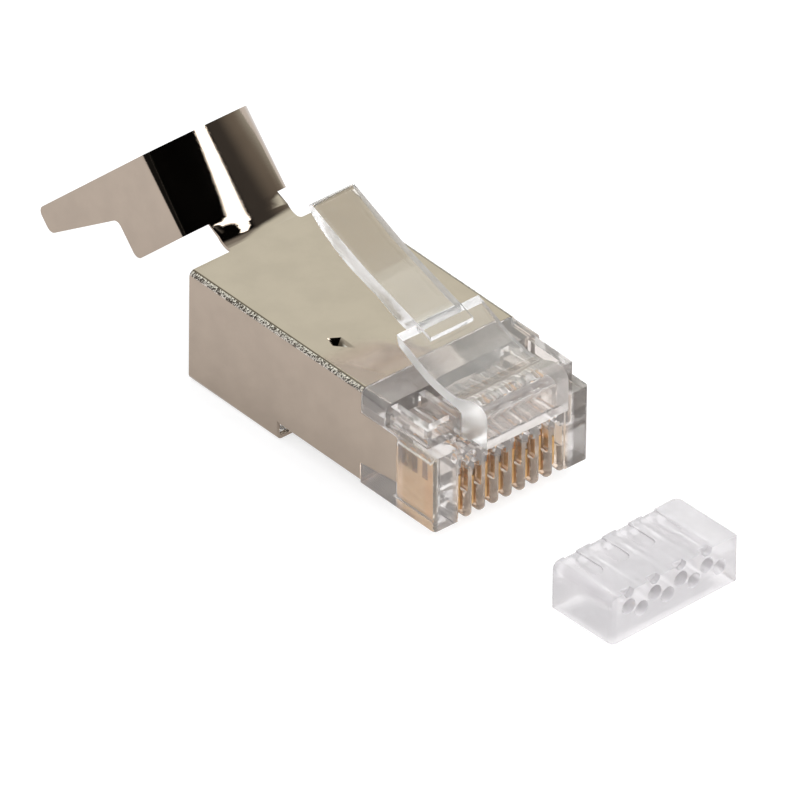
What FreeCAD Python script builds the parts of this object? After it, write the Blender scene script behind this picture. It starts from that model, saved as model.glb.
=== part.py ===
import FreeCAD, Part
import math
import os

V = FreeCAD.Vector

# Shielded eight-way modular plug, in millimetres.
# X runs across the plug, Y runs back from the nose, Z is up from the surface it rests on.
# While it is modelled, Y is counted from the nose; the origin then moves to the rear band's seat.

# Whole plug
PLUG_WIDTH = 11.68
FRONT_HEIGHT = 6.6
BAND_DROP = 1.1
BAND_START = 14.03
SHIELD_END = 21.95
FIT = 0.03
LEAST_RADIUS = 0.1
OVERRUN = 1.0
CLOSE = 1e-6

# Contacts
CONTACTS = 8
PITCH = 1.02
BLADE_THICK = 0.3
BLADE_FRONT = 0.55
BLADE_LENGTH = 3.8
BLADE_RECESS = 0.15
BLADE_NOSE_RADIUS = 0.6
BLADE_HEEL_RADIUS = 0.2
BLADE_SHOULDER = 2.3
SHOULDER_STEP = 0.5
SHOULDER_DEPTH = 0.7
TINES = 4
TINE_GAP = 0.46
TINE_GAP_DEPTH = 1.5
TINE_POINT = 0.3
SLOT_PLAY = 0.03

# Wires, in two staggered rows
WIRE_BORE = 1.0
LOW_WIRE_HEIGHT = 3.5
ROW_STEP = 0.6
BORE_FRONT = 1.4
BORE_TIP_RADIUS = 0.25

# Nose
COMB_RECESS = 0.15
CHEEK_HEIGHT = 5.15
BROW_HEIGHT = 0.5
LEDGE_HEIGHT = 1.65
LEDGE_DEPTH = 0.7
SLOT_TOP = 3.1
UPPER_WEB = 0.3
RIB_DROP = 0.25
RIB_RADIUS = 0.3
NOSE_CORNER_RADIUS = 0.25

# Top of the housing, on both sides of the latch
BLOCK_FRONT = 4.4
BLOCK_EDGE_RADIUS = 0.5
ARM_FRONT = 1.1
ARM_INNER = 2.85
ARM_OUTER = 5.5
ARM_HEIGHT = 1.25
ARM_WALL = 0.55
ARM_POCKET_DEPTH = 0.9

# Cable end of the housing
HOUSING_END_GAP = 0.3
CAVITY_WALL = 0.55
CAVITY_FLOOR = 0.6
CHAMBER_WEB = 0.6
FUNNEL_LENGTH = 1.6
CAVITY_RADIUS = 0.8

# Shield, one folded sheet
SHEET = 0.22
SHIELD_EDGE_RADIUS = 0.4
BAND_FOOT_RADIUS = 0.4
CHANNEL_FOOT_RADIUS = 0.33
TOP_PLATE_FRONT = 6.61
SIDE_PLATE_FRONT = 3.44
TOP_NOTCH_DEPTH = 1.7
FOOT_NOTCH_REAR = 1.38
FOOT_NOTCH_FRONT = 1.76
FLANGE_WIDTH = 1.1
FLANGE_FRONT = 6.95
SEAM_X = 1.6
SEAM_GAP = 0.08

# Barb pressed down out of the top plate
BARB_X = -3.85
BARB_BACK = 11.1
BARB_HALF_WIDTH = 0.5
BARB_TAIL = 0.65
BARB_LENGTH = 1.25
BARB_DEPTH = 0.5
BARB_TURN = 20.0

# Strain relief, the shield's tail
TAIL_ANGLE = 46.7
NECK_HALF_WIDTH = 2.6
NECK_BEND_RADIUS = 1.2
NECK_RUN = 0.92
NECK_ROOT_RADIUS = 0.25
BARREL_LENGTH = 5.3
BARREL_HALF_WIDTH = 3.93
BARREL_CROWN_RADIUS = 8.0
BARREL_CORNER_RADIUS = 1.3
LONG_WING = 7.1
SHORT_WING = 7.1
WING_CORNER_RADIUS = 0.5
TONGUE_REACH = 14.4
TONGUE_ROOT_WIDTH = 2.7
TONGUE_TIP_WIDTH = 1.65

# Latch; its outlines are (back, up) from the hinge's axis
LATCH_WIDTH = 6.2
TAB_WIDTH = 3.25
HINGE_BACK = 0.9
HINGE_RISE = 0.65
KNUCKLE_RADIUS = 0.42
KNUCKLE_PLAY = 0.05
ROOT_REACH = 1.35
ROOT_FOOT_RISE = 0.22
ROOT_TOP = 0.85
ROOT_EDGE_RADIUS = 0.7
SHOULDER_REACH = 5.8
SHOULDER_RISE = 1.9
SHOULDER_THICK = 0.7
SHOULDER_LEAN = 0.2
LEG_UNDER = [(1.6, -0.25), (3.2, 0.1), (4.6, 0.72)]
LEG_OVER = [(4.2, 1.3), (2.8, 0.72), (1.4, 0.42)]
TAB_START = 4.5
TAB_FRONT_RISE = 1.72
TAB_REACH = 15.65
TAB_RISE = 5.55
TAB_END_THICK = 0.75
TAB_UNDER = [(6.8, 1.14), (8.9, 1.92), (10.7, 2.47), (12.3, 3.0), (13.7, 3.72)]
TAB_OVER = [(12.6, 4.34), (10.2, 3.42), (8.1, 2.8), (6.3, 2.28)]
TAB_END_RADIUS = 0.25

# Load bar, the wire guide, lying in front of the plug
BAR_WIDTH = 9.8
BAR_LENGTH = 5.06
BAR_HEIGHT = 3.25
BAR_PLAY = 0.1
BAR_KEY_RADIUS = 0.5
BAR_CORNER_RADIUS = 0.45
BAR_EDGE_RADIUS = 0.15
BAR_SHIFT = 0.6
BAR_AHEAD = 8.63
BAR_TURN = 2.0
BAR_HIGH_BORE_DEPTH = 1.05
GROOVE_LENGTH = 2.6
GROOVE_DEPTH = 0.12
NOTCH_LENGTH = 0.4
NOTCH_RADIUS = 0.4

# Heights and places that follow from the sizes above
NOSE_FLOOR = BAND_DROP
TOP = BAND_DROP + FRONT_HEIGHT
HALF_WIDTH = PLUG_WIDTH / 2
SKIN = SHEET + FIT
CORE_HALF = HALF_WIDTH - SKIN
CORE_TOP = TOP - SKIN
CORE_EDGE_RADIUS = max(SHIELD_EDGE_RADIUS - SKIN, LEAST_RADIUS)
COMB_HALF = PITCH * CONTACTS / 2
HINGE_HEIGHT = TOP + HINGE_RISE
CHEEK_TOP = NOSE_FLOOR + CHEEK_HEIGHT
HOUSING_END = SHIELD_END - HOUSING_END_GAP
NECK_START = SHIELD_END + NECK_ROOT_RADIUS
SEAT_BACK = (BAND_START + SHIELD_END) / 2
RIB_FOOT = NOSE_FLOOR - RIB_DROP
BLADE_FOOT = RIB_FOOT + BLADE_RECESS
BLADE_END = BLADE_FRONT + BLADE_LENGTH
SLOT_WIDTH = BLADE_THICK + 2 * SLOT_PLAY
COMB_BACK = BLADE_END + SLOT_PLAY
LEDGE = NOSE_FLOOR + LEDGE_HEIGHT
LOW_WIRE_Z = NOSE_FLOOR + LOW_WIRE_HEIGHT
CHAMBER_FRONT = BLADE_END + CHAMBER_WEB
BAR_LOW_BORE = BAR_HEIGHT - BAR_HIGH_BORE_DEPTH - ROW_STEP
CHAMBER_FLOOR = LOW_WIRE_Z - BAR_LOW_BORE - BAR_PLAY
CHAMBER_TOP = CHAMBER_FLOOR + BAR_HEIGHT + 2 * BAR_PLAY
CHAMBER_HALF = BAR_WIDTH / 2 + BAR_PLAY
CORNER_X = BARREL_HALF_WIDTH - BARREL_CORNER_RADIUS
CROWN_SWING = math.asin(CORNER_X / (BARREL_CROWN_RADIUS - BARREL_CORNER_RADIUS))
CORNER_Z = (BARREL_CROWN_RADIUS - BARREL_CORNER_RADIUS) * math.cos(CROWN_SWING) - BARREL_CROWN_RADIUS


def box(x0, x1, y0, y1, z0, z1):
    return Part.makeBox(x1 - x0, y1 - y0, z1 - z0, V(x0, y0, z0))


def mirrored(shape):
    return shape.mirror(V(0, 0, 0), V(1, 0, 0))


def both_sides(shape):
    return [shape, mirrored(shape)]


def side_profile(points, x0, x1):
    """A closed outline of (y, z) points, thickened across the plug."""
    corners = [V(x0, y, z) for y, z in points]
    face = Part.Face(Part.makePolygon(corners + corners[:1]))
    return face.extrude(V(x1 - x0, 0, 0))


def rounded_bar(half, z0, z1, top_radius, foot_radius, y0, y1):
    """A bar along Y with rounded long edges."""
    bar = box(-half, half, y0, y1, z0, z1)
    for height, radius in ((z1, top_radius), (z0, foot_radius)):
        if radius > 0:
            edges = [e for e in bar.Edges if along_y(e, height, half)]
            bar = bar.makeFillet(radius, edges)
    return bar


def along_y(edge, height, half):
    """True for the two long edges of a bar at this height."""
    first, last = edge.Vertexes[0].Point, edge.Vertexes[-1].Point
    level = abs(first.z - height) < CLOSE and abs(last.z - height) < CLOSE
    outer = abs(abs(first.x) - half) < CLOSE and abs(first.x - last.x) < CLOSE
    return level and outer


def contact_places():
    """X of each contact, left to right, and whether its wire is in the upper row."""
    for i in range(CONTACTS):
        yield (i - (CONTACTS - 1) / 2) * PITCH, i % 2 == 0


def wire_height(upper):
    return LOW_WIRE_Z + (ROW_STEP if upper else 0)


# Contact blades

def contact_blade(x, upper):
    """A flat blade: rounded foot, stepped shoulder at the front and pointed tines on top."""
    shoulder = BLADE_FOOT + BLADE_SHOULDER + (SHOULDER_STEP if upper else 0)
    tip = wire_height(upper) - WIRE_BORE / 2 + TINE_POINT
    comb_front = BLADE_FRONT + SHOULDER_DEPTH
    tine = (BLADE_END - comb_front - (TINES - 1) * TINE_GAP) / TINES
    outline = [(BLADE_FRONT, BLADE_FOOT), (BLADE_FRONT, shoulder), (comb_front, shoulder)]
    for i in range(TINES):
        y = comb_front + i * (tine + TINE_GAP)
        outline += [(y, tip - TINE_POINT), (y + tine / 2, tip), (y + tine, tip - TINE_POINT)]
        if i < TINES - 1:
            outline += [(y + tine, tip - TINE_GAP_DEPTH), (y + tine + TINE_GAP, tip - TINE_GAP_DEPTH)]
    outline.append((BLADE_END, BLADE_FOOT))
    blade = side_profile(outline, x - BLADE_THICK / 2, x + BLADE_THICK / 2)
    front_foot = [e for e in blade.Edges if across_x(e, BLADE_FRONT, BLADE_FOOT)]
    rear_foot = [e for e in blade.Edges if across_x(e, BLADE_END, BLADE_FOOT)]
    return blade.makeFillet(BLADE_NOSE_RADIUS, front_foot).makeFillet(BLADE_HEEL_RADIUS, rear_foot)


def across_x(edge, y, z):
    """True for an edge along X through this place."""
    return all(abs(v.Y - y) < CLOSE and abs(v.Z - z) < CLOSE for v in edge.Vertexes)


# Housing

def housing_outside():
    """The clear moulding before its slots, bores and cavity are cut."""
    front = SIDE_PLATE_FRONT - FIT
    under_plate = TOP_PLATE_FRONT - FIT
    nose = box(-HALF_WIDTH, HALF_WIDTH, 0, front, NOSE_FLOOR, CHEEK_TOP)
    nose = nose.makeFillet(NOSE_CORNER_RADIUS, [e for e in nose.Edges if upright_at(e, 0)])
    side_plate = box(CORE_HALF, HALF_WIDTH + OVERRUN, front, under_plate, 0, TOP - TOP_NOTCH_DEPTH + FIT)
    outline = [(front - FIT, NOSE_FLOOR), (under_plate, NOSE_FLOOR), (under_plate, TOP), (BLOCK_FRONT, TOP),
               (BLOCK_FRONT, CHEEK_TOP), (front - FIT, CHEEK_TOP)]
    block = side_profile(outline, -HALF_WIDTH, HALF_WIDTH)
    block = block.makeFillet(BLOCK_EDGE_RADIUS, [e for e in block.Edges if along_y(e, TOP, HALF_WIDTH)])
    block = block.cut(both_sides(side_plate))
    middle = rounded_bar(CORE_HALF, NOSE_FLOOR + SKIN, CORE_TOP, CORE_EDGE_RADIUS, LEAST_RADIUS,
                         under_plate, BAND_START + OVERRUN)
    rear = rounded_bar(CORE_HALF, SKIN, CORE_TOP, CORE_EDGE_RADIUS, BAND_FOOT_RADIUS - SKIN,
                       BAND_START + SKIN, HOUSING_END)
    pads = both_sides(foot_pad())
    arms = both_sides(arm())
    return nose.fuse([block, middle, rear, latch_root()] + pads + arms).removeSplitter()


def upright_at(edge, y):
    """True for an upright edge at this distance back."""
    first, last = edge.Vertexes[0].Point, edge.Vertexes[-1].Point
    return abs(first.y - y) < CLOSE and abs(last.y - y) < CLOSE and abs(first.x - last.x) < CLOSE


def foot_pad():
    """The plastic that fills the notch at the foot of the shield's side plate."""
    back = TOP_PLATE_FRONT - FIT
    front = SIDE_PLATE_FRONT - 2 * FIT
    outline = [(front, NOSE_FLOOR), (back, NOSE_FLOOR), (back, NOSE_FLOOR + FOOT_NOTCH_REAR - FIT),
               (front, NOSE_FLOOR + FOOT_NOTCH_FRONT - FIT)]
    return side_profile(outline, CORE_HALF - OVERRUN, HALF_WIDTH)


def arm():
    """A hollow arm reaching forward from the block, beside the latch's root."""
    top = CHEEK_TOP + ARM_HEIGHT
    body = box(ARM_INNER, ARM_OUTER, ARM_FRONT, BLOCK_FRONT + FIT, CHEEK_TOP - FIT, top)
    pocket = box(ARM_INNER + ARM_WALL, ARM_OUTER - ARM_WALL, ARM_FRONT + ARM_WALL, BLOCK_FRONT,
                 top - ARM_POCKET_DEPTH, top + OVERRUN)
    return body.cut(pocket)


def latch_root():
    """The block that carries the latch, with a round seat for the latch's hinge."""
    half = LATCH_WIDTH / 2
    foot, top = CHEEK_TOP + ROOT_FOOT_RISE, HINGE_HEIGHT + ROOT_TOP
    sunk = CHEEK_TOP - FIT
    outline = [(-ROOT_REACH, foot), (0, foot), (0, sunk), (HINGE_BACK, sunk), (HINGE_BACK, top),
               (-ROOT_REACH, top)]
    body = side_profile(outline, -half, half)
    front_top = [e for e in body.Edges if across_x(e, -ROOT_REACH, top)]
    body = body.makeFillet(ROOT_EDGE_RADIUS, front_top)
    slope = side_profile([(0, top), (HINGE_BACK + FIT, HINGE_HEIGHT + KNUCKLE_RADIUS + KNUCKLE_PLAY),
                          (HINGE_BACK + FIT, top + OVERRUN), (0, top + OVERRUN)], -half - FIT, half + FIT)
    return body.cut(slope).cut(hinge_barrel(KNUCKLE_RADIUS + KNUCKLE_PLAY, half + FIT))


def hinge_barrel(radius, half):
    return Part.makeCylinder(radius, 2 * half, V(-half, HINGE_BACK, HINGE_HEIGHT), V(1, 0, 0))


def comb_space():
    """The room that is cleared below the comb's ledge, for the ribs to stand in."""
    return box(-COMB_HALF, COMB_HALF, -OVERRUN, COMB_BACK, NOSE_FLOOR - OVERRUN, LEDGE)


def comb_rib(x0, x1):
    """One rib between two contacts: a finger along Y with a rounded front and foot."""
    rib = box(x0, x1, COMB_RECESS, COMB_BACK + FIT, RIB_FOOT, LEDGE + FIT)
    front = [e for e in rib.Edges if upright_at(e, COMB_RECESS)]
    foot = [e for e in rib.Edges if all(abs(v.Z - RIB_FOOT) < CLOSE for v in e.Vertexes)
            and not across_x(e, COMB_BACK + FIT, RIB_FOOT)]
    return rib.makeFillet(RIB_RADIUS, front + foot)


def comb_ribs():
    """A rib on each side of every contact; the outermost two are sunk into the cheeks."""
    half = (PITCH - SLOT_WIDTH) / 2
    places = [(i - CONTACTS / 2) * PITCH for i in range(CONTACTS + 1)]
    return [comb_rib(x - half, x + half) for x in places]


def contact_slot(x, upper):
    """One slot of the comb: narrow, with a wide window above the ledge at the front."""
    narrow = SLOT_WIDTH / 2
    wide = (PITCH - UPPER_WEB) / 2
    step = SHOULDER_STEP if upper else 0
    slot = box(x - narrow, x + narrow, 0, COMB_BACK, LEDGE - OVERRUN, wire_height(upper))
    window = box(x - wide, x + wide, 0, COMB_RECESS + LEDGE_DEPTH, LEDGE, NOSE_FLOOR + SLOT_TOP + step)
    return slot.fuse(window)


def wire_bore(x, upper):
    """A blind bore that brings one wire over its contact, with a coned end."""
    radius = WIRE_BORE / 2
    height = wire_height(upper)
    front = V(x, BORE_FRONT, height)
    cone = Part.makeCone(radius, BORE_TIP_RADIUS, radius - BORE_TIP_RADIUS, front, V(0, -1, 0))
    return bore(x, height, radius, BORE_FRONT, CHAMBER_FRONT + OVERRUN).fuse(cone)


def cable_cavity():
    """The chamber for the load bar, the funnel behind it and the opening for the cable."""
    half = CORE_HALF - CAVITY_WALL
    floor, top = SKIN + CAVITY_FLOOR, CORE_TOP - CAVITY_FLOOR
    entry = BAND_START + CAVITY_FLOOR + SKIN
    chamber = box(-CHAMBER_HALF, CHAMBER_HALF, CHAMBER_FRONT, entry, CHAMBER_FLOOR, CHAMBER_TOP)
    opening = rounded_bar(half, floor, top, CAVITY_RADIUS, CAVITY_RADIUS, entry, HOUSING_END + OVERRUN)
    corners = [(-1, -1), (1, -1), (1, 1), (-1, 1)]
    sections = []
    for y, side, low, high in ((entry, half, floor, top),
                               (entry - FUNNEL_LENGTH, CHAMBER_HALF, CHAMBER_FLOOR, CHAMBER_TOP)):
        ring = [V(sx * side, y, low if sz < 0 else high) for sx, sz in corners]
        sections.append(Part.makePolygon(ring + ring[:1]))
    funnel = Part.makeLoft(sections, True, True)
    return chamber.fuse([opening, funnel])


def housing():
    body = housing_outside()
    brow = CHEEK_TOP - BROW_HEIGHT
    recess = box(-COMB_HALF, COMB_HALF, -OVERRUN, COMB_RECESS, NOSE_FLOOR - OVERRUN, brow)
    body = body.cut(recess).cut(comb_space()).fuse(comb_ribs())
    tools = [cable_cavity(), barb(FIT)]
    tools += [contact_slot(x, upper) for x, upper in contact_places()]
    tools += [wire_bore(x, upper) for x, upper in contact_places()]
    for tool in tools:
        body = body.cut(tool)
    return body.removeSplitter()


# Shield

def shield_body():
    """The folded box of the shield: a shallow channel at the front and a closed band at the rear."""
    channel = rounded_bar(HALF_WIDTH, NOSE_FLOOR, TOP, SHIELD_EDGE_RADIUS, CHANNEL_FOOT_RADIUS,
                          SIDE_PLATE_FRONT, BAND_START + OVERRUN)
    band = rounded_bar(HALF_WIDTH, 0, TOP, SHIELD_EDGE_RADIUS, BAND_FOOT_RADIUS, BAND_START, SHIELD_END)
    inner = HALF_WIDTH - SHEET
    inner_edge = SHIELD_EDGE_RADIUS - SHEET
    inner_foot = CHANNEL_FOOT_RADIUS - SHEET
    channel_inside = rounded_bar(inner, NOSE_FLOOR + SHEET, TOP - SHEET, inner_edge, inner_foot,
                                 SIDE_PLATE_FRONT - OVERRUN, BAND_START + 2 * OVERRUN)
    band_inside = rounded_bar(inner, SHEET, TOP - SHEET, inner_edge, BAND_FOOT_RADIUS - SHEET,
                              BAND_START - OVERRUN, SHIELD_END + OVERRUN)
    channel = channel.cut(channel_inside)
    band = band.cut(band_inside)
    channel = channel.cut(box(-HALF_WIDTH, HALF_WIDTH, BAND_START, SHIELD_END, -OVERRUN, TOP))
    return channel.fuse(band)


def shield_cuts():
    """What is cut from the folded box: notches at the front, the open floor and the seam."""
    past = HALF_WIDTH + OVERRUN
    top_notch = box(-past, past, 0, TOP_PLATE_FRONT, TOP - TOP_NOTCH_DEPTH, TOP + OVERRUN)
    foot_notch = side_profile([(SIDE_PLATE_FRONT - OVERRUN, 0), (TOP_PLATE_FRONT, 0),
                               (TOP_PLATE_FRONT, NOSE_FLOOR + FOOT_NOTCH_REAR),
                               (SIDE_PLATE_FRONT, NOSE_FLOOR + FOOT_NOTCH_FRONT),
                               (SIDE_PLATE_FRONT - OVERRUN, NOSE_FLOOR + FOOT_NOTCH_FRONT)], -past, past)
    floor_half = HALF_WIDTH - FLANGE_WIDTH
    open_floor = box(-floor_half, floor_half, 0, BAND_START, 0, TOP - SHEET - FIT)
    flange_end = box(-HALF_WIDTH + SHEET, HALF_WIDTH - SHEET, 0, FLANGE_FRONT, 0, TOP - SHEET - FIT)
    seam = box(SEAM_X - SEAM_GAP / 2, SEAM_X + SEAM_GAP / 2, BAND_START - OVERRUN, SHIELD_END + OVERRUN,
               -OVERRUN, SHEET + FIT)
    return [top_notch, foot_notch, open_floor, flange_end, seam]


def barb(gap):
    """The kite-shaped pyramid of the barb, grown by the sheet and a gap for its pocket in the housing."""
    return pyramid(BARB_DEPTH + SHEET + gap, SHEET + gap, TOP)


def pyramid(depth, grow, level):
    """A pyramid pointing down from a kite outline, its long corner towards the nose."""
    half, tail, length = BARB_HALF_WIDTH + grow, BARB_TAIL + grow, BARB_LENGTH + grow
    kite = [(-half, 0), (0, tail), (half, 0), (0, -length)]
    turn = math.radians(BARB_TURN)
    ring = []
    for a, b in kite:
        x = BARB_X + a * math.cos(turn) - b * math.sin(turn)
        y = BARB_BACK + a * math.sin(turn) + b * math.cos(turn)
        ring.append(V(x, y, level))
    apex = V(BARB_X, BARB_BACK, level - depth)
    faces = [Part.Face(Part.makePolygon(ring + ring[:1]))]
    for i, corner in enumerate(ring):
        faces.append(Part.Face(Part.makePolygon([corner, ring[(i + 1) % len(ring)], apex, corner])))
    return Part.Solid(Part.Shell(faces))


# Strain relief tail, modelled with its crown flat on Z = 0 and its wings hanging down

def spoke(radius, angle):
    """The way from an arc's centre to a point on it, its angle counted from straight up."""
    return V(radius * math.sin(angle), 0, radius * math.cos(angle))


def crown_arc(inset, swing, y):
    """The wide arc over the crown, on the sheet's outside or inset from it."""
    centre = V(0, y, -BARREL_CROWN_RADIUS)
    points = [centre + spoke(BARREL_CROWN_RADIUS - inset, angle) for angle in (-swing, 0, swing)]
    return Part.Arc(*points).toShape()


def arch(inset, foot):
    """The room under one side of the sheet: wide crown arc, tight corner arcs and straight wings."""
    half = BARREL_HALF_WIDTH - inset
    corner = BARREL_CORNER_RADIUS - inset
    centre = V(CORNER_X, 0, CORNER_Z)
    angles = (CROWN_SWING, (CROWN_SWING + math.pi / 2) / 2, math.pi / 2)
    bend = Part.Arc(*[centre + spoke(corner, angle) for angle in angles]).toShape()
    wing = Part.makeLine(V(half, 0, CORNER_Z), V(half, 0, foot))
    ground = Part.makeLine(V(half, 0, foot), V(-half, 0, foot))
    edges = [crown_arc(inset, CROWN_SWING, 0), ground] + both_sides(bend) + both_sides(wing)
    return Part.Face(Part.Wire(Part.__sortEdges__(edges)))


def neck_section(y, curved):
    """The sheet's section across the neck: flat at the bend, curved where it meets the crown."""
    swing = math.asin(NECK_HALF_WIDTH / BARREL_CROWN_RADIUS)
    ends = V(NECK_HALF_WIDTH, y, 0), V(-NECK_HALF_WIDTH, y, 0)
    if curved:
        outer, inner = crown_arc(0, swing, y), crown_arc(SHEET, swing, y)
    else:
        outer, inner = Part.makeLine(*ends), Part.makeLine(*[p - V(0, 0, SHEET) for p in ends])
    return Part.makeRuledSurface(outer, inner).OuterWire


def barrel():
    """The U-shaped barrel that is crimped round the cable, with its two wings."""
    depth = TONGUE_REACH + OVERRUN
    outside = arch(0, -depth).extrude(V(0, BARREL_LENGTH, 0))
    inside = arch(SHEET, -depth - OVERRUN).extrude(V(0, BARREL_LENGTH, 0))
    sheet = outside.cut(inside)
    past = BARREL_HALF_WIDTH + OVERRUN
    long_side = wing_trim(LONG_WING, TONGUE_REACH).extrude(V(-past, 0, 0))
    short_side = wing_trim(SHORT_WING, SHORT_WING).extrude(V(past, 0, 0))
    return sheet.common(long_side.fuse(short_side))


def wing_trim(wing, reach):
    """The outline that a wing is cut to: full width, then a tongue where it reaches further."""
    outline = [(0, OVERRUN), (0, -wing)]
    if reach > wing:
        outline += [(BARREL_LENGTH - TONGUE_ROOT_WIDTH, -wing), (BARREL_LENGTH - TONGUE_TIP_WIDTH, -reach)]
    outline += [(BARREL_LENGTH, -reach), (BARREL_LENGTH, OVERRUN)]
    slab = side_profile(outline, 0, OVERRUN)
    corners = [e for e in slab.Edges if any(across_x(e, y, z) for y, z in outline[1:-1])]
    slab = slab.makeFillet(WING_CORNER_RADIUS, corners)
    return [f for f in slab.Faces if abs(f.CenterOfMass.x) < CLOSE][0]


def strain_relief():
    """The neck that bends up from the top plate and the barrel at its end."""
    run = Part.makeLoft([neck_section(-NECK_RUN, False), neck_section(0, True)], True, True)
    tail = barrel().fuse(run)
    tilt = math.radians(TAIL_ANGLE)
    back = NECK_BEND_RADIUS * math.sin(tilt) + NECK_RUN * math.cos(tilt)
    up = NECK_BEND_RADIUS * (1 - math.cos(tilt)) + NECK_RUN * math.sin(tilt)
    tail.rotate(V(0, 0, 0), V(1, 0, 0), TAIL_ANGLE)
    tail.translate(V(0, NECK_START + back, TOP + up))
    return tail.fuse([neck_bend(), neck_root()])


def neck_root():
    """The flat start of the neck, with a rounded inner corner on each side."""
    r = NECK_ROOT_RADIUS
    web = box(-NECK_HALF_WIDTH - r, NECK_HALF_WIDTH + r, SHIELD_END - FIT, NECK_START, TOP - SHEET, TOP)
    for side in (-1, 1):
        corner = V(side * (NECK_HALF_WIDTH + r), NECK_START, TOP - SHEET - OVERRUN)
        web = web.cut(Part.makeCylinder(r, SHEET + 2 * OVERRUN, corner))
    return web


def neck_bend():
    """The bend itself: the sheet's edge swung round the bend's axis."""
    strip = box(-NECK_HALF_WIDTH, NECK_HALF_WIDTH, NECK_START - FIT, NECK_START, TOP - SHEET, TOP)
    face = [f for f in strip.Faces if abs(f.CenterOfMass.y - NECK_START) < CLOSE][0]
    axis = V(0, NECK_START, TOP + NECK_BEND_RADIUS)
    return face.revolve(axis, V(1, 0, 0), TAIL_ANGLE)


def shield():
    body = shield_body()
    for tool in shield_cuts():
        body = body.cut(tool)
    body = body.fuse(strain_relief())
    dent = pyramid(BARB_DEPTH, 0, TOP)
    body = body.fuse(pyramid(BARB_DEPTH + SHEET, SHEET, TOP)).cut(dent)
    return body.removeSplitter()


# Latch lever

def spline(points):
    curve = Part.BSplineCurve()
    curve.interpolate(points)
    return curve.toShape()


def beside(outline, x):
    """Outline points counted from the hinge's axis, as places in space."""
    return [V(x, HINGE_BACK + back, HINGE_HEIGHT + up) for back, up in outline]


def latch_plate():
    """The wide springy plate from the hinge to the two locking shoulders."""
    half = LATCH_WIDTH / 2
    rear_foot = (SHOULDER_REACH - SHOULDER_LEAN, SHOULDER_RISE - SHOULDER_THICK)
    under = beside([(0, -KNUCKLE_RADIUS)] + LEG_UNDER + [rear_foot], -half)
    over = beside([(SHOULDER_REACH, SHOULDER_RISE)] + LEG_OVER + [(0, KNUCKLE_RADIUS)], -half)
    edges = [spline(under), Part.makeLine(under[-1], over[0])]
    edges += [spline(over), Part.makeLine(over[-1], under[0])]
    plate = Part.Face(Part.Wire(edges)).extrude(V(2 * half, 0, 0))
    return plate.fuse(hinge_barrel(KNUCKLE_RADIUS, half))


def latch_tab():
    """The narrow finger tab that rises behind the shoulders."""
    half = TAB_WIDTH / 2
    front_top = (TAB_START, TAB_FRONT_RISE)
    front_foot = (TAB_START, TAB_FRONT_RISE - SHOULDER_THICK)
    rear_foot = (SHOULDER_REACH - SHOULDER_LEAN, SHOULDER_RISE - SHOULDER_THICK)
    tab_end = (TAB_REACH - TAB_END_THICK / 2, TAB_RISE - TAB_END_THICK)
    under = beside([rear_foot] + TAB_UNDER + [tab_end], -half)
    over = beside([(TAB_REACH, TAB_RISE)] + TAB_OVER + [front_top], -half)
    foot = beside([front_foot], -half)[0]
    edges = [Part.makeLine(over[-1], foot), Part.makeLine(foot, under[0]), spline(under),
             Part.makeLine(under[-1], over[0]), spline(over)]
    tab = Part.Face(Part.Wire(edges)).extrude(V(2 * half, 0, 0))
    ends = [e for e in tab.Edges if any(across_x(e, p.y, p.z) for p in (over[0], under[-1]))]
    return tab.makeFillet(TAB_END_RADIUS, ends)


def latch_lever():
    return latch_plate().fuse(latch_tab()).removeSplitter()


# Load bar

def load_bar():
    """The wire guide: two rows of through bores, with a shallow groove and a notch over each upper bore."""
    half = BAR_WIDTH / 2
    block = box(-half, half, 0, BAR_LENGTH, 0, BAR_HEIGHT)
    keyed = [e for e in block.Edges if runs_back(e, -half, BAR_HEIGHT)]
    plain = [e for e in block.Edges if any(runs_back(e, x, 0) for x in (-half, half))]
    corners = [e for e in block.Edges for x, y in ((-half, 0), (half, BAR_LENGTH))
               if upright_at(e, y) and abs(e.CenterOfMass.x - x) < CLOSE]
    bar = block.makeFillet(BAR_KEY_RADIUS, keyed).makeFillet(BAR_EDGE_RADIUS, plain)
    bar = bar.common(block.makeFillet(BAR_CORNER_RADIUS, corners))
    for x, upper in contact_places():
        height = BAR_LOW_BORE + (ROW_STEP if upper else 0)
        bar = bar.cut(bore(x, height, WIRE_BORE / 2, -OVERRUN, BAR_LENGTH + OVERRUN))
        if upper:
            bar = bar.cut(wire_groove(x)).cut(bore(x, BAR_HEIGHT, NOTCH_RADIUS, -OVERRUN, NOTCH_LENGTH))
    bar.rotate(V(0, 0, 0), V(0, 0, 1), BAR_TURN)
    bar.translate(V(BAR_SHIFT, -BAR_AHEAD - BAR_LENGTH, 0))
    return bar


def runs_back(edge, x, z):
    """True for an edge along Y through this place."""
    return all(abs(v.X - x) < CLOSE and abs(v.Z - z) < CLOSE for v in edge.Vertexes)


def bore(x, height, radius, y0, y1):
    return Part.makeCylinder(radius, y1 - y0, V(x, y0, height), V(0, 1, 0))


def wire_groove(x):
    """A shallow groove in the top, open to the rear, with a rounded front end."""
    radius = WIRE_BORE / 2
    start = BAR_LENGTH - GROOVE_LENGTH + radius
    floor = BAR_HEIGHT - GROOVE_DEPTH
    run = box(x - radius, x + radius, start, BAR_LENGTH + OVERRUN, floor, BAR_HEIGHT + OVERRUN)
    end = Part.makeCylinder(radius, GROOVE_DEPTH + OVERRUN, V(x, start, floor))
    return run.fuse(end)


def save(shape, name):
    shape.translate(V(0, -SEAT_BACK, 0))
    print(name, len(shape.Solids), shape.isValid(), round(shape.Volume, 3))
    shape.exportStep(os.path.join("parts", name + ".step"))


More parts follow.
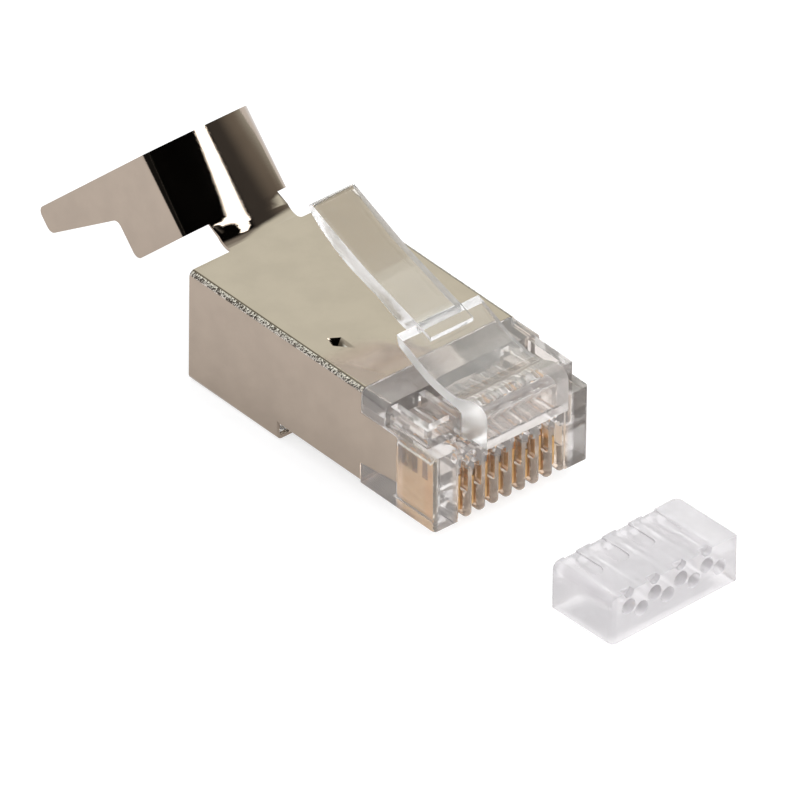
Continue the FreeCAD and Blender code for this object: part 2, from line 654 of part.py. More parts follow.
os.makedirs("parts", exist_ok=True)
save(housing(), "housing")
save(shield(), "shield")
save(latch_lever(), "latch_lever")
save(load_bar(), "load_bar")
for number, (x, upper) in enumerate(contact_places(), 1):
    save(contact_blade(x, upper), "contact_blade_%d" % number)
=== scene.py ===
import bmesh
import bpy
import math
from mathutils import Matrix, Vector


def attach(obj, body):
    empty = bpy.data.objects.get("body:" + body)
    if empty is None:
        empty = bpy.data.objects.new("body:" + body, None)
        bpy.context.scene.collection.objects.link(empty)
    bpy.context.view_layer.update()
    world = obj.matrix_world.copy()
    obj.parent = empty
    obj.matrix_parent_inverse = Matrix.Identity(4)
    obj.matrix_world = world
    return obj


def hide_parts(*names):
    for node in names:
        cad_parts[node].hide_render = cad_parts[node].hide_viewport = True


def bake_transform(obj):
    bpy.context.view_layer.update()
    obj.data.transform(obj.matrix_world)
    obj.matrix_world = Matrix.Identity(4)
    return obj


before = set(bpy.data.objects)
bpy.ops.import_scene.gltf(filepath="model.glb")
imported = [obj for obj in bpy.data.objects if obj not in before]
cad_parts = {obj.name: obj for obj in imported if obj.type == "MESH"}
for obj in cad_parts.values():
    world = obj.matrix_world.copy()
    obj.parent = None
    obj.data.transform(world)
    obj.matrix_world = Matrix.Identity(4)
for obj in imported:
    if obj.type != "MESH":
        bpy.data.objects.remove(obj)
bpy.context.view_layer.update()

MM = 0.001

# Camera, as the photograph was taken: angles in degrees, lengths in millimetres
CAMERA_AZIMUTH = -40.9026
CAMERA_ELEVATION = 35.3754
CAMERA_ROLL = 0.6567
CAMERA_DISTANCE = 2000.0
CAMERA_AIM = Vector((0, -9.99, 4))
CAMERA_SIDE = -1.2578
CAMERA_RISE = -0.4074
CAMERA_LENS = 1555.25
CAMERA_CLIP_END = 100
SENSOR_WIDTH = 36.0

# Key light: where it stands and its size, in metres
KEY_DIRECTION = Vector((0.296, -0.571, 0.766))
KEY_DISTANCE = 0.6
KEY_SIZE = (0.16, 0.56)
KEY_STRENGTH = 4.5
FLOOR_RADIUS = 1.5

# The white tent, and what mirrors see of the room: each colour fades in along one axis of the direction
TENT = (1.15, 1.15, 1.17, 1)
DARK_OPENING = (0.002, 0.002, 0.002, 1)
CEILING = (0.38, 0.37, 0.35, 1)
CEILING_FROM_FRONT = (-0.25, 0.1)
CEILING_FROM_BELOW = (0.55, 0.85)
GREY_REAR = ("Y", 0.2, 0.5, (0.66, 0.68, 0.65, 1))
BROWN_SIDE = ("X", 0.40, 0.58, (0.075, 0.07, 0.066, 1))
LIGHT_BROWN_SIDE = ("X", 0.72, 1.0, (0.26, 0.235, 0.205, 1))
PALE_WALL = (1.07, 1.14, 1.07, 1)
PALE_WALL_TOWARDS = (0.60, 0.70, 0.39)
PALE_WALL_SPREAD = (0.55, 0.85)

# Paper: two tones, its glow, where it ends in mirrors, and the painted shadow beneath plug and load bar, where its
# glow is dimmer
PAPER_TONES = ((0.40, 0.40, 0.40, 1), (0.42, 0.42, 0.42, 1))
PAPER_GLOW = (0.70, 0.70, 0.70, 1)
PAPER_GLOW_IN_MIRRORS = (0.40, 0.385, 0.38, 1)
PAPER_EDGE = (-34, -22)
PAPER_BEYOND = (0.01, 0.01, 0.01, 1)
PAINTED_SHADOW_UNDER_PLUG = ((-4.9, -14.8, -2), (4.9, 4.5, 2), (0.16, 0.15, 0.145, 1))
PAINTED_SHADOW_UNDER_BAR = ((-4.2, -31.5, -2), (5.2, -26.7, 2), (0.29, 0.285, 0.29, 1))
PAINTED_SHADOW_SOFT = 1.2

WHITE = (1, 1, 1, 1)
BLACK = (0, 0, 0, 1)

# Nickel: the plate's two tones, the crazed folds with painted glints and painted shade, the sheet's inner faces
# with painted light, and the places with painted shade
NICKEL_TONES = ((0.46, 0.385, 0.315, 1), (0.49, 0.41, 0.335, 1))
CRAZE_GLINTS_AND_SHADE = ((0.17, 0.14, 0.115, 1), (0.93, 0.86, 0.78, 1))
NICKEL_INSIDE_PAINTED_LIGHT = (0.80, 0.74, 0.66, 1)
NICKEL_SHADED = (0.12, 0.095, 0.07, 1)

# Gold and clear plastics: a lighter and a darker tone of each
GOLD_TONES = ((0.76, 0.46, 0.19, 1), (0.88, 0.60, 0.30, 1))
MOULDING_TONES = ((0.93, 0.88, 0.84, 1), (0.89, 0.84, 0.80, 1))
LATCH_TONES = ((0.93, 0.91, 0.88, 1), (0.905, 0.885, 0.855, 1))
# The latch's faces towards the right: a painted shade.
LATCH_RIGHT_PAINTED_SHADE = (0.42, 0.43, 0.41, 1)
GUIDE_TONES = ((0.88, 0.86, 0.87, 1), (0.83, 0.81, 0.82, 1))

# Painted shade in the clear plastic, warm where gold shows through it: lowest corner, highest corner, colour
COMB_PAINTED_SHADE = ((-4.4, -18.3, -0.3), (4.4, -16.0, 4.4), (0.94, 0.74, 0.57, 1))
RIGHT_CHEEK_PAINTED_SHADE = ((4.5, -18.3, -0.3), (6.1, -15.0, 6.9), (0.36, 0.325, 0.295, 1))
LEFT_CHEEK_PAINTED_SHADE = ((-6.1, -18.3, -0.3), (-5.5, -15.0, 6.9), (0.72, 0.64, 0.53, 1))
ROOT_PAINTED_SHADE = ((-3.3, -18.3, 7.2), (3.3, -16.2, 9.6), (0.52, 0.47, 0.42, 1))
TAB_PAINTED_SHADE = ((-1.6, -7.5, 8.5), (1.6, 3.0, 15.0), (0.74, 0.69, 0.62, 1))
PAINTED_SHADE_SOFT = 0.3

# Places on the shield, in millimetres
SHIELD_TOP = 7.7
SHIELD_SIDE = 5.84
SHEET_INNER = (0.15, 0.2)
BAND_TOP = 1.2
CRAZE_WIDTH = 0.26
CRAZE_SOFT = 0.05
CRAZE_ABOVE = 0.1
CRAZE_BESIDE = (0.10, 0.04)
CRAZE_HEIGHT = 0.05
CRYSTALS_PER_MM = 10.0
GRAIN_HEIGHT = 0.0007
BARB_MIDDLE = Vector((-3.85, -6.89, 7.4))
BARB_REACH = 0.55
BARB_SUNK = 0.04

# The tail: its neck and crown, with the crown's line in side view as (y, z)
NECK_FOOT = 4.21
NECK_FOOT_SOFT = 0.06
NECK_RUN = 0.92
NECK_LENGTH = 1.79
NECK_RADIUS = 3.8
NECK_LEFT_FADE = 1.0
CROWN_START = (5.71, 8.75)
CROWN_SLOPE = (0.6858, 0.7278)
CROWN_LENGTH = 5.3
CROWN_RADIUS = 8.0
CROWN_END_RADIUS = 5.0

# The clear moulding: the latch's leg grows out of its root, and bends from the cut on
HINGE_AT = (-17.09, 8.35)
HINGE_FILL_RADIUS = 0.5
LATCH_WIDTH = 6.2
LATCH_CUT_BACK = -16.4
OVER_BLOCK = 7.75
WELD = 0.002

# Softened edges: widths in millimetres, angles in degrees
MOULD_EDGE = 0.06
GUIDE_EDGE = 0.1
SHEET_EDGE = 0.03
FLAT_WITHIN = 1
ROUNDED_FROM = 30
CREASED_FROM = 50


# Nodes

def add_node(tree, kind, inputs=None, **settings):
    """A node with its settings and its unlinked inputs set."""
    node = tree.nodes.new(kind)
    for name, value in settings.items():
        setattr(node, name, value)
    for name, value in (inputs or {}).items():
        if isinstance(value, bpy.types.NodeSocket):
            tree.links.new(value, node.inputs[name])
        else:
            node.inputs[name].default_value = value
    return node


def maths(tree, operation, a, b=0.0, c=0.0):
    """A Math node's output for one, two or three values or sockets."""
    return add_node(tree, "ShaderNodeMath", {0: a, 1: b, 2: c}, operation=operation).outputs[0]


def product(tree, first, *others):
    """Several values multiplied."""
    for other in others:
        first = maths(tree, "MULTIPLY", first, other)
    return first


def vectors(tree, operation, a, b=(0, 0, 0)):
    """A Vector Math node's outputs for one or two vectors or sockets."""
    return add_node(tree, "ShaderNodeVectorMath", {0: a, 1: b}, operation=operation).outputs


def split(tree, vector):
    """The X, Y and Z of a vector."""
    return add_node(tree, "ShaderNodeSeparateXYZ", {"Vector": vector}).outputs


def between(tree, value, low, high, out_low=0.0, out_high=1.0):
    """A smooth step of a value from low to high."""
    node = add_node(tree, "ShaderNodeMapRange", {"Value": value, "From Min": low, "From Max": high,
                                                 "To Min": out_low, "To Max": out_high})
    node.interpolation_type = "SMOOTHSTEP"
    return node.outputs["Result"]


def blend_colour(tree, share, first, second):
    """Two colours mixed by a share."""
    node = add_node(tree, "ShaderNodeMix", data_type="RGBA")
    for name, value in (("Factor", share), ("A", first), ("B", second)):
        socket = [s for s in node.inputs if s.name == name and s.enabled][0]
        if isinstance(value, bpy.types.NodeSocket):
            tree.links.new(value, socket)
        else:
            socket.default_value = value
    return [s for s in node.outputs if s.enabled][0]


def object_place(tree):
    """Where a point lies on its piece, in metres."""
    return add_node(tree, "ShaderNodeTexCoord").outputs["Object"]


def seen_in_mirrors(tree):
    """One for rays that a bright surface threw back, and none for those that came through a clear one."""
    path = add_node(tree, "ShaderNodeLightPath").outputs
    through = maths(tree, "SUBTRACT", 1.0, path["Is Transmission Ray"])
    return maths(tree, "MULTIPLY", path["Is Glossy Ray"], through)


def new_material(name):
    """A material with only its output and a Principled shader."""
    material = bpy.data.materials.new(name)
    material.use_nodes = True
    tree = material.node_tree
    shader = [n for n in tree.nodes if n.type == "BSDF_PRINCIPLED"][0]
    return material, tree, shader


# Effects that several finishes share

def new_group(name, inputs, outputs):
    """A shader node group with named sockets, and the sockets that it is given inside."""
    group = bpy.data.node_groups.new(name, "ShaderNodeTree")
    for socket, kind in inputs:
        group.interface.new_socket(name=socket, in_out="INPUT", socket_type="NodeSocket" + kind)
    for socket, kind in outputs:
        group.interface.new_socket(name=socket, in_out="OUTPUT", socket_type="NodeSocket" + kind)
    return group, group.nodes.new("NodeGroupInput").outputs


def build_surface_grain():
    """The small unevenness of a surface: a tone, a roughness between two limits and a bumped normal."""
    group, given = new_group(
        "surface_grain",
        (("Place", "Vector"), ("Cells per metre", "Float"), ("Detail", "Float"), ("Smooth", "Float"),
         ("Rough", "Float"), ("Depth in metres", "Float")),
        (("Tone", "Float"), ("Roughness", "Float"), ("Normal", "Vector")))
    noise = add_node(group, "ShaderNodeTexNoise", {"Vector": given["Place"], "Scale": given["Cells per metre"],
                                                   "Detail": given["Detail"]})
    tone = between(group, noise.outputs["Fac"], 0.3, 0.7)
    span = maths(group, "SUBTRACT", given["Rough"], given["Smooth"])
    roughness = maths(group, "MULTIPLY_ADD", tone, span, given["Smooth"])
    bump = add_node(group, "ShaderNodeBump", {"Height": noise.outputs["Fac"], "Strength": 1.0,
                                              "Distance": given["Depth in metres"]})
    add_node(group, "NodeGroupOutput", {"Tone": tone, "Roughness": roughness, "Normal": bump.outputs["Normal"]})
    return group


def build_painted_shade_place():
    """How far a point is inside a box of painted shade: one in its middle, falling softly to none at its walls."""
    group, given = new_group(
        "painted_shade_place",
        (("Place", "Vector"), ("Middle", "Vector"), ("Half size", "Vector"), ("Softness", "Float")),
        (("Share", "Float"),))
    from_middle = vectors(group, "SUBTRACT", given["Place"], given["Middle"])["Vector"]
    away = vectors(group, "ABSOLUTE", from_middle)["Vector"]
    past = split(group, vectors(group, "SUBTRACT", away, given["Half size"])["Vector"])
    outermost = maths(group, "MAXIMUM", maths(group, "MAXIMUM", past["X"], past["Y"]), past["Z"])
    start = maths(group, "MULTIPLY", given["Softness"], -1.0)
    add_node(group, "NodeGroupOutput", {"Share": between(group, outermost, start, 0.0, 1.0, 0.0)})
    return group


surface_grain = build_surface_grain()
painted_shade_place = build_painted_shade_place()


def place_grain(tree, place, cells, detail, smooth, rough, depth):
    """The surface_grain group with its values: cells per millimetre, and depth in millimetres."""
    return add_node(tree, "ShaderNodeGroup", {
        "Place": place, "Cells per metre": cells / MM, "Detail": detail, "Smooth": smooth, "Rough": rough,
        "Depth in metres": depth * MM}, node_tree=surface_grain).outputs


def paint_shade(tree, place, colour, box, soft):
    """Paints shade: a colour changed inside a box, which is its two corners and the other colour; all in
    millimetres.
    """
    low, high, inside = box
    low, high = Vector(low) * MM, Vector(high) * MM
    node = add_node(tree, "ShaderNodeGroup", {
        "Place": place, "Middle": (low + high) / 2, "Half size": (high - low) / 2, "Softness": soft * MM},
        node_tree=painted_shade_place)
    return blend_colour(tree, node.outputs["Share"], colour, inside)


# Finishes

def tail_camber(tree, axes):
    """How far the tail's sheet falls off to both sides towards its free end, and how much its neck curves."""
    x, y, z = axes["X"], axes["Y"], axes["Z"]
    back = maths(tree, "MULTIPLY", maths(tree, "SUBTRACT", y, CROWN_START[0] * MM), CROWN_SLOPE[0])
    up = maths(tree, "MULTIPLY", maths(tree, "SUBTRACT", z, CROWN_START[1] * MM), CROWN_SLOPE[1])
    along = maths(tree, "ADD", back, up)
    on_crown = add_node(tree, "ShaderNodeMapRange", {"Value": along, "From Min": 0.0,
                                                     "From Max": CROWN_LENGTH * MM}).outputs["Result"]
    tighter_end = (1 / CROWN_END_RADIUS - 1 / CROWN_RADIUS) / MM
    fall = product(tree, maths(tree, "MULTIPLY", x, x), maths(tree, "MULTIPLY", on_crown, -0.5 * tighter_end))
    on_neck = between(tree, along, -NECK_RUN * MM, 0.0, 1.0, 0.0)
    at_foot = product(tree, between(tree, along, -NECK_LENGTH * MM, 0.0, 1.0, 0.0),
                      between(tree, x, 0.0, NECK_LEFT_FADE * MM, 1.0, 0.0))
    curve = maths(tree, "MULTIPLY_ADD", at_foot, CROWN_RADIUS / NECK_RADIUS - 1, on_neck)
    past_foot = between(tree, y, NECK_FOOT * MM, (NECK_FOOT + NECK_FOOT_SOFT) * MM)
    turn = product(tree, maths(tree, "MULTIPLY", curve, past_foot),
                   maths(tree, "MULTIPLY", x, 1 / CROWN_RADIUS / MM))
    return fall, turn


def folded_edges(tree, axes, side):
    """Masks along the shield's folded top edges: the crazed strip, and the line of painted shade beside it on the
    plate.
    """
    start = SHIELD_SIDE - CRAZE_WIDTH
    near_side = between(tree, side, start * MM, (start + CRAZE_SOFT) * MM)
    before, after = CRAZE_BESIDE
    off_craze = maths(tree, "SUBTRACT", between(tree, side, (start - before) * MM, (start - after) * MM), near_side)
    start = SHIELD_TOP - CRAZE_WIDTH - CRAZE_SOFT
    near_top = between(tree, axes["Z"], start * MM, (start + CRAZE_SOFT) * MM)
    below_tail = maths(tree, "LESS_THAN", axes["Z"], (SHIELD_TOP + CRAZE_ABOVE) * MM)
    return product(tree, near_side, near_top, below_tail), product(tree, off_craze, near_top, below_tail)


def barb_dent(tree, place, axes):
    """A mask of the barb's sunken faces, where shade is painted."""
    far = vectors(tree, "DISTANCE", place, BARB_MIDDLE * MM)["Value"]
    near = between(tree, far, 0.5 * BARB_REACH * MM, BARB_REACH * MM, 1.0, 0.0)
    return product(tree, near, maths(tree, "LESS_THAN", axes["Z"], (SHIELD_TOP - BARB_SUNK) * MM))


def sheet_inside(tree, axes, side):
    """A mask of the sheet's inner faces above the band, up to the tail, where light is painted."""
    near, far = SHEET_INNER
    off_side = between(tree, side, (SHIELD_SIDE - far) * MM, (SHIELD_SIDE - near) * MM, 1.0, 0.0)
    off_top = between(tree, axes["Z"], (SHIELD_TOP - far) * MM, (SHIELD_TOP - near) * MM, 1.0, 0.0)
    above_band = maths(tree, "GREATER_THAN", axes["Z"], BAND_TOP * MM)
    before_tail = maths(tree, "LESS_THAN", axes["Y"], NECK_FOOT * MM)
    return product(tree, off_side, off_top, above_band, before_tail)


def nickel_plate():
    """Bright nickel over brass sheet: a mirror with a fine grain, crazed along the folded top edges, with painted
    glints and shade in the craze, painted light on the sheet's inner faces and painted shade in the barb's dent and
    beside the folds.
    """
    material, tree, shader = new_material("nickel_plate")
    place = object_place(tree)
    axes = split(tree, place)
    side = maths(tree, "ABSOLUTE", axes["X"])
    craze, beside = folded_edges(tree, axes, side)
    cloud = place_grain(tree, place, 0.5, 3.0, 0.03, 0.05, 0.0)
    grain = place_grain(tree, place, 14.0, 2.0, 0.0, 1.0, 0.0)
    crystals = add_node(tree, "ShaderNodeTexVoronoi", {"Vector": place, "Scale": CRYSTALS_PER_MM / MM})
    specks = add_node(tree, "ShaderNodeSeparateColor", {"Color": crystals.outputs["Color"]})
    # The crazed strip's specks: painted glints and painted shade over the crazing.
    crazed_glints_and_shade = blend_colour(tree, between(tree, specks.outputs["Red"], 0.30, 0.42), *CRAZE_GLINTS_AND_SHADE)
    plain = blend_colour(tree, cloud["Tone"], *NICKEL_TONES)
    # Painted light on the sheet's inner faces.
    plain = blend_colour(tree, sheet_inside(tree, axes, side), plain, NICKEL_INSIDE_PAINTED_LIGHT)
    # Painted shade in the barb's dent and along the line beside each crazed fold.
    shaded = maths(tree, "MAXIMUM", barb_dent(tree, place, axes), beside)
    plain = blend_colour(tree, shaded, plain, NICKEL_SHADED)
    tree.links.new(blend_colour(tree, craze, plain, crazed_glints_and_shade), shader.inputs["Base Color"])
    shader.inputs["Metallic"].default_value = 1.0
    tree.links.new(maths(tree, "MULTIPLY_ADD", craze, 0.2, cloud["Roughness"]), shader.inputs["Roughness"])
    fall, turn = tail_camber(tree, axes)
    coarse = maths(tree, "MULTIPLY", crystals.outputs["Distance"], craze)
    height = maths(tree, "MULTIPLY_ADD", coarse, CRAZE_HEIGHT * MM, fall)
    height = maths(tree, "MULTIPLY_ADD", grain["Tone"], GRAIN_HEIGHT * MM, height)
    bump = add_node(tree, "ShaderNodeBump", {"Height": height, "Strength": 1.0, "Distance": 1.0})
    sideways = add_node(tree, "ShaderNodeCombineXYZ", {"X": turn})
    turned = vectors(tree, "ADD", bump.outputs["Normal"], sideways.outputs["Vector"])["Vector"]
    tree.links.new(vectors(tree, "NORMALIZE", turned)["Vector"], shader.inputs["Normal"])
    return material


def clear_plastic(name, clearness, ior, tones, smooth, rough, painted_shades=(), dull_sides=0.0, right_painted_shade=WHITE):
    """Clear moulded plastic, a little milky, with faint flow marks; it may have places with painted shade, a
    painted shade on faces towards the right, and dull sides; in mirrors it shows untinted, a painted lighter
    reflection.
    """
    material, tree, shader = new_material(name)
    place = object_place(tree)
    shader.inputs["Transmission Weight"].default_value = clearness
    shader.inputs["IOR"].default_value = ior
    flow = place_grain(tree, place, 0.7, 2.0, smooth, rough, 0.02)
    colour, roughness = blend_colour(tree, flow["Tone"], *tones), flow["Roughness"]
    # Painted shade at the given places.
    for box in painted_shades:
        colour = paint_shade(tree, place, colour, box, PAINTED_SHADE_SOFT)
    if dull_sides:
        # Faces towards the right get a painted shade; the sides are duller.
        facing = split(tree, add_node(tree, "ShaderNodeTexCoord").outputs["Normal"])["X"]
        colour = blend_colour(tree, between(tree, facing, 0.6, 0.9), colour, right_painted_shade)
        to_side = between(tree, maths(tree, "ABSOLUTE", facing), 0.6, 0.9)
        roughness = maths(tree, "MULTIPLY_ADD", to_side, dull_sides, roughness)
    # In mirrors the plastic shows untinted: a painted lighter reflection.
    colour = blend_colour(tree, seen_in_mirrors(tree), colour, WHITE)
    tree.links.new(colour, shader.inputs["Base Color"])
    tree.links.new(roughness, shader.inputs["Roughness"])
    tree.links.new(flow["Normal"], shader.inputs["Normal"])
    return material


def gold_plating():
    """Gold over phosphor bronze: satin faces with a darker, rolled grain."""
    material, tree, shader = new_material("gold_plating")
    shader.inputs["Metallic"].default_value = 1.0
    grain = place_grain(tree, object_place(tree), 1.6, 2.0, 0.3, 0.4, 0.004)
    tree.links.new(blend_colour(tree, grain["Tone"], *GOLD_TONES), shader.inputs["Base Color"])
    tree.links.new(grain["Roughness"], shader.inputs["Roughness"])
    tree.links.new(grain["Normal"], shader.inputs["Normal"])
    return material


def studio_paper():
    """White paper under the plug; in mirrors it ends on the left, where the studio is dark; beneath plug and load
    bar its glow is dimmed, a painted shadow.
    """
    material, tree, shader = new_material("studio_paper")
    place = object_place(tree)
    fibre = place_grain(tree, place, 1.2, 4.0, 0.85, 0.95, 0.0)
    white = blend_colour(tree, fibre["Tone"], *PAPER_TONES)
    mirrored = seen_in_mirrors(tree)
    beyond = between(tree, split(tree, place)["X"], PAPER_EDGE[0] * MM, PAPER_EDGE[1] * MM, 1.0, 0.0)
    dark = maths(tree, "MULTIPLY", beyond, mirrored)
    glow = blend_colour(tree, mirrored, PAPER_GLOW, PAPER_GLOW_IN_MIRRORS)
    # A painted shadow beneath plug and load bar: the glow is dimmer there.
    for box in (PAINTED_SHADOW_UNDER_PLUG, PAINTED_SHADOW_UNDER_BAR):
        glow = paint_shade(tree, place, glow, box, PAINTED_SHADOW_SOFT)
    tree.links.new(blend_colour(tree, dark, white, PAPER_BEYOND), shader.inputs["Base Color"])
    tree.links.new(blend_colour(tree, dark, glow, BLACK), shader.inputs["Emission Color"])
    shader.inputs["Emission Strength"].default_value = 1.0
    tree.links.new(fibre["Roughness"], shader.inputs["Roughness"])
    shader.inputs["Specular IOR Level"].default_value = 0.0
    return material


def dress(piece, material):
    """Gives a piece its finish in every one of its material slots."""
    if not piece.data.materials:
        piece.data.materials.append(material)
    for i in range(len(piece.data.materials)):
        piece.data.materials[i] = material


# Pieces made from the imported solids

def add_object(name, data):
    """An object in the scene for a mesh, a camera or a lamp."""
    thing = bpy.data.objects.new(name, data)
    bpy.context.scene.collection.objects.link(thing)
    return thing


def final_mesh(piece):
    """The piece's mesh with its modifiers applied; the piece itself goes."""
    seen = piece.evaluated_get(bpy.context.evaluated_depsgraph_get())
    mesh = bpy.data.meshes.new_from_object(seen)
    bpy.data.objects.remove(piece)
    return mesh


def solid_copy(node):
    """A CAD node's mesh as one closed skin in an object of its own."""
    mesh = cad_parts[node].data.copy()
    shape = bmesh.new()
    shape.from_mesh(mesh)
    bmesh.ops.remove_doubles(shape, verts=shape.verts, dist=WELD * MM)
    shape.to_mesh(mesh)
    shape.free()
    return add_object(node + "_copy", mesh)


def hinge_filler():
    """A rod that closes the hinge's gap, so that leg and root become one moulding."""
    shape = bmesh.new()
    place = Matrix.Translation(Vector((0, *HINGE_AT)) * MM) @ Matrix.Rotation(math.pi / 2, 4, "Y")
    radius = HINGE_FILL_RADIUS * MM
    bmesh.ops.create_cone(shape, cap_ends=True, segments=32, radius1=radius, radius2=radius,
                          depth=LATCH_WIDTH * MM, matrix=place)
    mesh = bpy.data.meshes.new("hinge_filler")
    shape.to_mesh(mesh)
    shape.free()
    return add_object("hinge_filler", mesh)


def whole_faces(mesh, cut=False):
    """Joins triangles into whole faces, and may cut the latch's leg across where it starts to bend."""
    shape = bmesh.new()
    shape.from_mesh(mesh)
    bmesh.ops.remove_doubles(shape, verts=shape.verts, dist=WELD * MM)
    bmesh.ops.dissolve_limit(shape, angle_limit=math.radians(FLAT_WITHIN), verts=shape.verts, edges=shape.edges)
    if cut:
        leg = [f for f in shape.faces if min(v.co.z for v in f.verts) > OVER_BLOCK * MM]
        near = set(leg)
        near.update(e for f in leg for e in f.edges)
        near.update(v for f in leg for v in f.verts)
        bmesh.ops.bisect_plane(shape, geom=list(near), plane_co=(0, LATCH_CUT_BACK * MM, 0),
                               plane_no=(0, 1, 0))
    shape.to_mesh(mesh)
    shape.free()
    return mesh


def round_edges(mesh, width):
    """Rounds the sharp edges and keeps the flat faces flat."""
    piece = add_object("rounded", mesh)
    bevel = piece.modifiers.new("edges", "BEVEL")
    bevel.width = width * MM
    bevel.segments = 2
    bevel.limit_method = "ANGLE"
    bevel.angle_limit = math.radians(ROUNDED_FROM)
    mesh = final_mesh(piece)
    mesh.polygons.foreach_set("use_smooth", [True] * len(mesh.polygons))
    mesh.set_sharp_from_angle(angle=math.radians(CREASED_FROM))
    piece = add_object("shaded", mesh)
    piece.modifiers.new("normals", "WEIGHTED_NORMAL").keep_sharp = True
    return final_mesh(piece)


def some_faces(mesh, name, wanted):
    """A piece of the wanted faces only, with the shading that they had."""
    chosen = [p for p in mesh.polygons if wanted(p.center)]
    used = sorted({v for p in chosen for v in p.vertices})
    number = {v: i for i, v in enumerate(used)}
    part = bpy.data.meshes.new(name)
    part.from_pydata([mesh.vertices[v].co for v in used], [], [[number[v] for v in p.vertices] for p in chosen])
    part.polygons.foreach_set("use_smooth", [True] * len(chosen))
    part.normals_split_custom_set([mesh.corner_normals[i].vector for p in chosen for i in p.loop_indices])
    return add_object(name, part)


def beyond_cut(centre):
    """True on the latch past the place where it starts to bend."""
    return centre.z > OVER_BLOCK * MM and centre.y > LATCH_CUT_BACK * MM


def make_moulding(material, latch_material):
    """Housing and latch as the one clear moulding that they are; the latch's part past the cut becomes a piece of
    its own.
    """
    body = solid_copy("housing")
    tools = [hinge_filler(), solid_copy("latch_lever")]
    for tool in tools:
        join = body.modifiers.new(tool.name, "BOOLEAN")
        join.operation = "UNION"
        join.solver = "EXACT"
        join.object = tool
    mesh = round_edges(whole_faces(final_mesh(body), cut=True), MOULD_EDGE)
    for tool in tools:
        bpy.data.objects.remove(tool)
    moulding = some_faces(mesh, "clear_moulding", lambda centre: not beyond_cut(centre))
    latch = some_faces(mesh, "clear_latch", beyond_cut)
    dress(moulding, material)
    dress(latch, latch_material)
    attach(moulding, "plug")
    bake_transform(latch)
    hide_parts("housing")
    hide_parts("latch_lever")


def make_softened(node, name, width, material):
    """A CAD node with its edges softened."""
    piece = add_object(name, round_edges(whole_faces(final_mesh(solid_copy(node))), width))
    dress(piece, material)
    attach(piece, "plug")
    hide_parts(node)


# Camera and studio

def aim(target, direction, roll=0.0):
    """Turns a camera or lamp so that it looks along a direction."""
    back = -direction.normalized()
    right = Vector((0, 0, 1)).cross(back).normalized()
    up = back.cross(right)
    turned_right = math.cos(roll) * right + math.sin(roll) * up
    turned_up = -math.sin(roll) * right + math.cos(roll) * up
    target.rotation_euler = Matrix((turned_right, turned_up, back)).transposed().to_euler()
    return turned_right, turned_up, back


def add_camera():
    """The camera at the photograph's angle."""
    data = bpy.data.cameras.new("camera")
    data.sensor_width = SENSOR_WIDTH
    data.lens = CAMERA_LENS
    data.clip_end = CAMERA_CLIP_END
    camera = add_object("camera", data)
    azimuth, elevation = math.radians(CAMERA_AZIMUTH), math.radians(CAMERA_ELEVATION)
    back = Vector((math.sin(azimuth) * math.cos(elevation), -math.cos(azimuth) * math.cos(elevation),
                   math.sin(elevation)))
    right, up, back = aim(camera, -back, math.radians(CAMERA_ROLL))
    place = CAMERA_AIM + back * CAMERA_DISTANCE + right * CAMERA_SIDE + up * CAMERA_RISE
    camera.location = place * MM
    bpy.context.scene.camera = camera


def add_key_light():
    """A soft light that reflections see and the camera doesn't."""
    data = bpy.data.lights.new("key", "AREA")
    data.shape = "RECTANGLE"
    data.size, data.size_y = KEY_SIZE
    data.energy = KEY_STRENGTH * math.pi * data.size * data.size_y
    lamp = add_object("key", data)
    lamp.location = KEY_DIRECTION.normalized() * KEY_DISTANCE
    aim(lamp, -KEY_DIRECTION)
    lamp.visible_camera = False


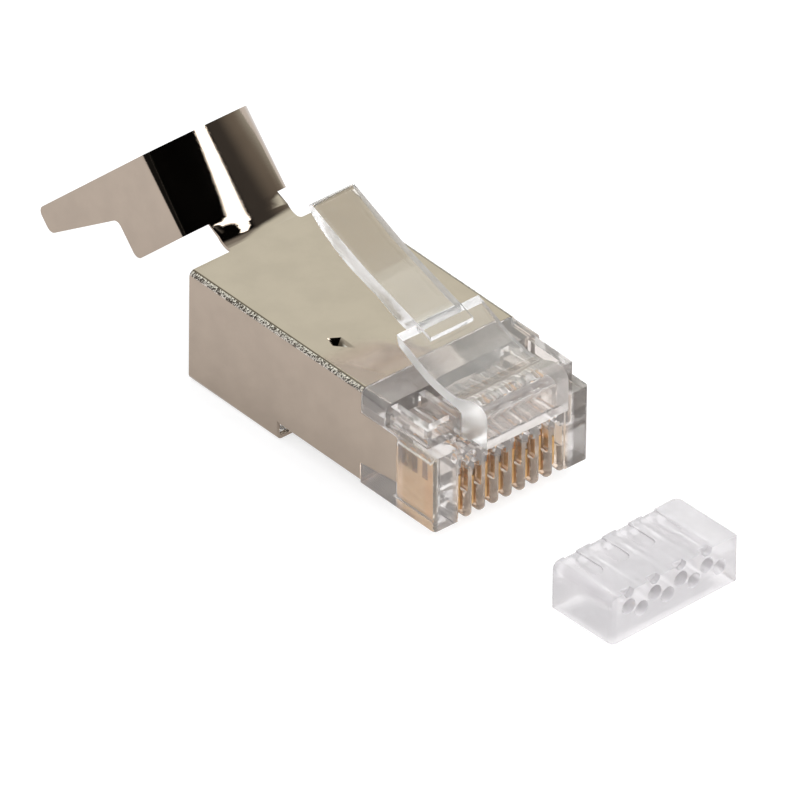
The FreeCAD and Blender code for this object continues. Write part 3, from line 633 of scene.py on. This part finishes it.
def add_surroundings():
    """A white tent that lights everything softly; mirrors see its dark opening and its pale rear wall."""
    world = bpy.data.worlds.new("studio")
    bpy.context.scene.world = world
    world.use_nodes = True
    tree = world.node_tree
    background = [n for n in tree.nodes if n.type == "BACKGROUND"][0]
    direction = add_node(tree, "ShaderNodeTexCoord").outputs["Generated"]
    sides = split(tree, direction)
    above = maths(tree, "MULTIPLY", between(tree, sides["Y"], *CEILING_FROM_FRONT),
                  between(tree, sides["Z"], *CEILING_FROM_BELOW))
    room = blend_colour(tree, above, DARK_OPENING, CEILING)
    for axis, low, high, colour in (GREY_REAR, BROWN_SIDE, LIGHT_BROWN_SIDE):
        room = blend_colour(tree, between(tree, sides[axis], low, high), room, colour)
    towards_wall = vectors(tree, "DOT_PRODUCT", direction, PALE_WALL_TOWARDS)["Value"]
    room = blend_colour(tree, between(tree, towards_wall, *PALE_WALL_SPREAD), room, PALE_WALL)
    tree.links.new(blend_colour(tree, seen_in_mirrors(tree), TENT, room), background.inputs["Color"])


def add_floor():
    """The pale sheet that the plug and its load bar lie on."""
    mesh = bpy.data.meshes.new("paper")
    shape = bmesh.new()
    bmesh.ops.create_circle(shape, cap_ends=True, segments=128, radius=FLOOR_RADIUS)
    shape.to_mesh(mesh)
    shape.free()
    mesh.materials.append(studio_paper())
    add_object("paper", mesh)


scene = bpy.context.scene
scene.view_settings.view_transform = "Standard"
scene.cycles.max_bounces = 24
scene.cycles.transmission_bounces = 24
scene.cycles.glossy_bounces = 16
scene.cycles.transparent_max_bounces = 24
add_camera()
add_floor()
add_surroundings()
add_key_light()

make_moulding(
    clear_plastic("clear_polycarbonate", 0.88, 1.58, MOULDING_TONES, 0.03, 0.08,
                  painted_shades=(COMB_PAINTED_SHADE, RIGHT_CHEEK_PAINTED_SHADE, LEFT_CHEEK_PAINTED_SHADE, ROOT_PAINTED_SHADE)),
    clear_plastic("thin_polycarbonate", 0.94, 1.58, LATCH_TONES, 0.03, 0.06, painted_shades=(TAB_PAINTED_SHADE,),
                  dull_sides=0.3, right_painted_shade=LATCH_RIGHT_PAINTED_SHADE))
make_softened("load_bar", "wire_guide", GUIDE_EDGE,
              clear_plastic("guide_polycarbonate", 0.66, 1.46, GUIDE_TONES, 0.10, 0.16))
make_softened("shield", "shield_sheet", SHEET_EDGE, nickel_plate())
gold = gold_plating()
for name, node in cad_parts.items():
    if name.startswith("contact_blade"):
        dress(node, gold)
